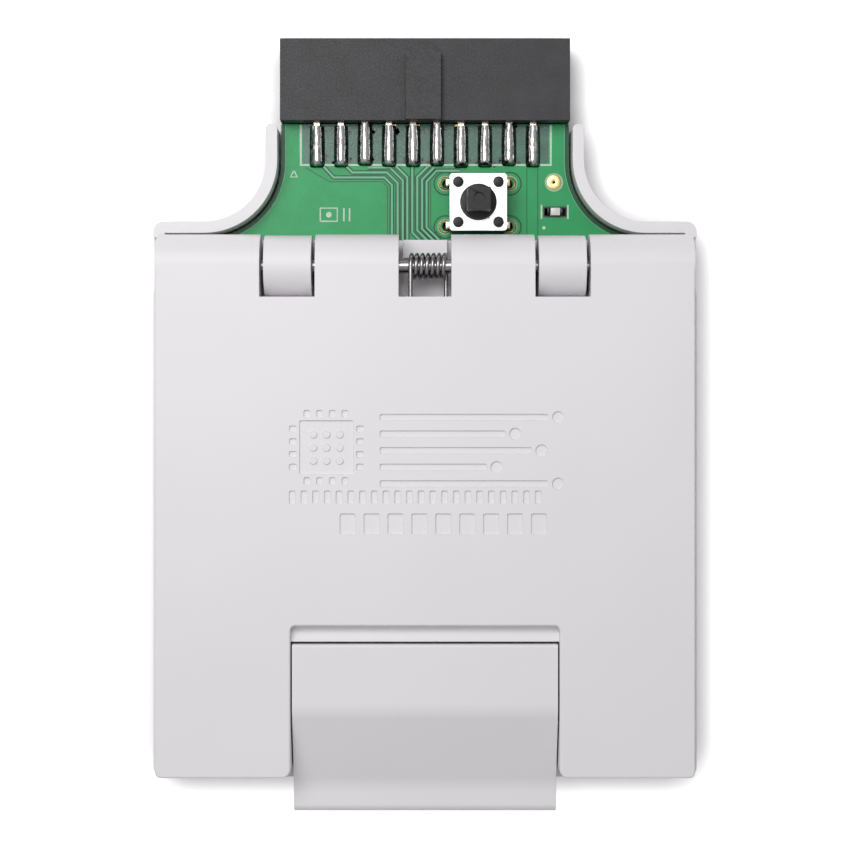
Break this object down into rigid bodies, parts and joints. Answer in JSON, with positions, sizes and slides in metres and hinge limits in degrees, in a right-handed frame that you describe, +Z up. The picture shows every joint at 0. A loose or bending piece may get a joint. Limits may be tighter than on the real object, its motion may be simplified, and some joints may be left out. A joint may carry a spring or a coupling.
{
  "type": "bga socket adapter",
  "caption": "Flip-top adapter that presses a ball-grid memory chip on sprung contacts over a small board, with a two-row female header at the rear, a latched lid and a push button.",
  "frame": {"origin": "on the underside, below the middle of the wide part of the adapter, where the underside mount lies", "axes": "+X across the adapter to the right, +Y towards the header at the rear, +Z up out of the lid"},
  "size_m": [0.057, 0.0808, 0.0123],
  "materials": {
    "white_paint": "satin white powder coat on aluminium",
    "steel": "plain steel",
    "board": "green solder mask",
    "gold": "gold plate",
    "black_plastic": "moulded black",
    "dark_plastic": "machined dark plastic",
    "tinned": "tin plate",
    "solder": "bright solder",
    "bright_metal": "bright stamped sheet",
    "led_white": "white resin",
    "led_lens": "clear epoxy"
  },
  "bodies": {
    "base": {"base_frame": "white_paint", "bottom_cover": "white_paint", "cover_screws": "steel", "circuit_board": "board", "test_pad": "gold", "header_housing": "black_plastic", "header_contacts_top": "tinned", "header_contacts_bottom": "tinned", "solder_joints_top": "solder", "solder_joints_bottom": "solder", "switch_body": "black_plastic", "switch_cover_plate": "bright_metal", "switch_dome": "bright_metal", "switch_terminals": "tinned", "led_body": "led_white", "led_lens": "led_lens", "led_terminals": "solder", "hinge_pin": "steel", "hinge_spring": "steel", "contact_block": "dark_plastic", "guide_springs": "steel", "guide_screws": "steel"},
    "lid": {"lid": "white_paint", "latch_pin": "steel", "latch_springs": "steel", "pressure_screws": "steel"},
    "latch": {"latch": "white_paint"},
    "pressure_plate": {"pressure_plate": "dark_plastic", "pressure_springs": "steel"},
    "switch_button": {"switch_plunger": "black_plastic"},
    "chip_guide": {"chip_guide": "dark_plastic"},
    "contacts": {"contact_pins": "gold"}
  },
  "joints": [
    {"name": "lid_hinge", "type": "hinge", "parent": "base", "child": "lid", "pos_m": [0, 0.0165, 0.009], "axis": [-1, 0, 0], "range_deg": [0, 105]},
    {"name": "latch_pivot", "type": "hinge", "parent": "lid", "child": "latch", "pos_m": [0, -0.031, 0.0094], "axis": [-1, 0, 0], "range_deg": [0, 14], "stiffness_Nm_per_rad": 0.05, "springref_deg": -5.73},
    {"name": "pressure_float", "type": "slide", "parent": "lid", "child": "pressure_plate", "axis": [0, 0, 1], "range_m": [0, 0.00045], "stiffness_N_per_m": 4000, "springref_m": -0.001},
    {"name": "switch_press", "type": "slide", "parent": "base", "child": "switch_button", "axis": [0, 0, -1], "range_m": [0, 0.00025], "stiffness_N_per_m": 800, "springref_m": -0.0005},
    {"name": "guide_float", "type": "slide", "parent": "base", "child": "chip_guide", "axis": [0, 0, -1], "range_m": [0, 0.0003], "stiffness_N_per_m": 1500, "springref_m": -0.0005},
    {"name": "contact_press", "type": "slide", "parent": "base", "child": "contacts", "axis": [0, 0, -1], "range_m": [0, 0.0003], "stiffness_N_per_m": 3000, "springref_m": -0.0003}
  ]
}
